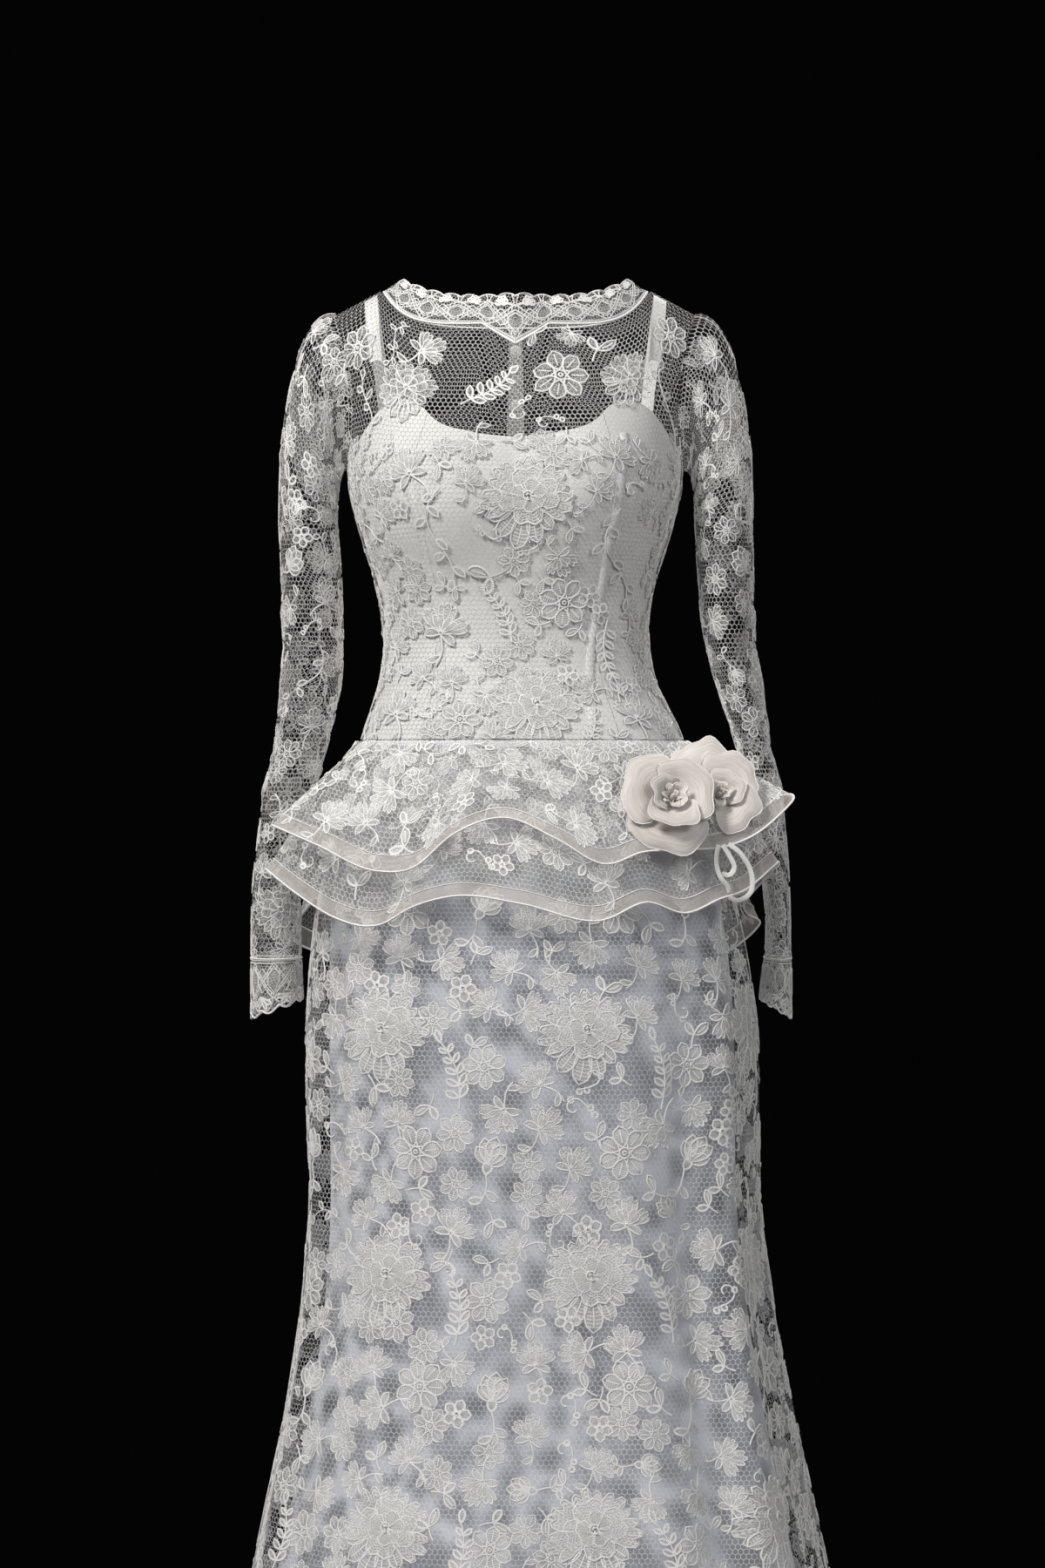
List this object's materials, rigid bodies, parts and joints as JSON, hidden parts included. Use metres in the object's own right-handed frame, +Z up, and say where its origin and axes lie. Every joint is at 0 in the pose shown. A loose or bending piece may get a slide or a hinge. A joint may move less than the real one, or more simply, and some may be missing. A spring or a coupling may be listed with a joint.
{
  "type": "wedding dress",
  "caption": "Floor-length corded-lace wedding dress over a pale slip, with a sheer yoke, long sleeves, a wavy peplum and organza roses at the hip.",
  "frame": {"origin": "midway between the two shoulder seams, where the wearer's shoulders hold the dress up", "axes": "+Z up, front faces -Y, +X towards the wearer's left arm"},
  "size_m": [0.6636, 0.5487, 1.4629],
  "materials": {
    "lace": "ivory corded floral lace on a fine hexagonal net, matt with a soft sheen on the cords",
    "slip": "pale crepe, fine grain and soft sheen",
    "organza": "beige-ivory organza, slightly sheer, satin sheen"
  },
  "bodies": {
    "root": {"back_button_1": "slip", "back_button_2": "slip", "back_button_3": "slip", "back_button_4": "slip", "back_button_5": "slip", "back_button_6": "slip", "back_button_7": "slip", "back_button_8": "slip", "back_placket": "lace", "cuff_edging_left": "lace", "cuff_edging_right": "lace", "lace_bodice_back_left": "lace", "lace_bodice_back_right": "lace", "lace_bodice_front": "lace", "lace_skirt_back_left": "lace", "lace_skirt_back_right": "lace", "lace_skirt_front": "lace", "lining_back_left": "slip", "lining_back_right": "slip", "lining_back_side_left": "slip", "lining_back_side_right": "slip", "lining_front_center": "slip", "lining_front_side_left": "slip", "lining_front_side_right": "slip", "lining_skirt_back_left": "slip", "lining_skirt_back_right": "slip", "lining_skirt_front": "slip", "neck_edging_back_left": "lace", "neck_edging_back_right": "lace", "neck_edging_front": "lace", "peplum_lower_back_left": "lace", "peplum_lower_back_right": "lace", "peplum_lower_front": "lace", "peplum_upper_back_left": "lace", "peplum_upper_back_right": "lace", "peplum_upper_front": "lace", "ribbon_loop_1": "organza", "ribbon_loop_2": "organza", "ribbon_loop_3": "organza", "rose_back_heart": "organza", "rose_back_petal_1": "organza", "rose_back_petal_2": "organza", "rose_back_petal_3": "organza", "rose_back_petal_4": "organza", "rose_back_petal_5": "organza", "rose_back_stem": "organza", "rose_front_heart": "organza", "rose_front_petal_1": "organza", "rose_front_petal_2": "organza", "rose_front_petal_3": "organza", "rose_front_petal_4": "organza", "rose_front_petal_5": "organza", "rose_front_petal_6": "organza", "rose_front_stem": "organza", "sleeve_left": "lace", "sleeve_right": "lace", "strap_left": "slip", "strap_right": "slip"}
  },
  "joints": []
}
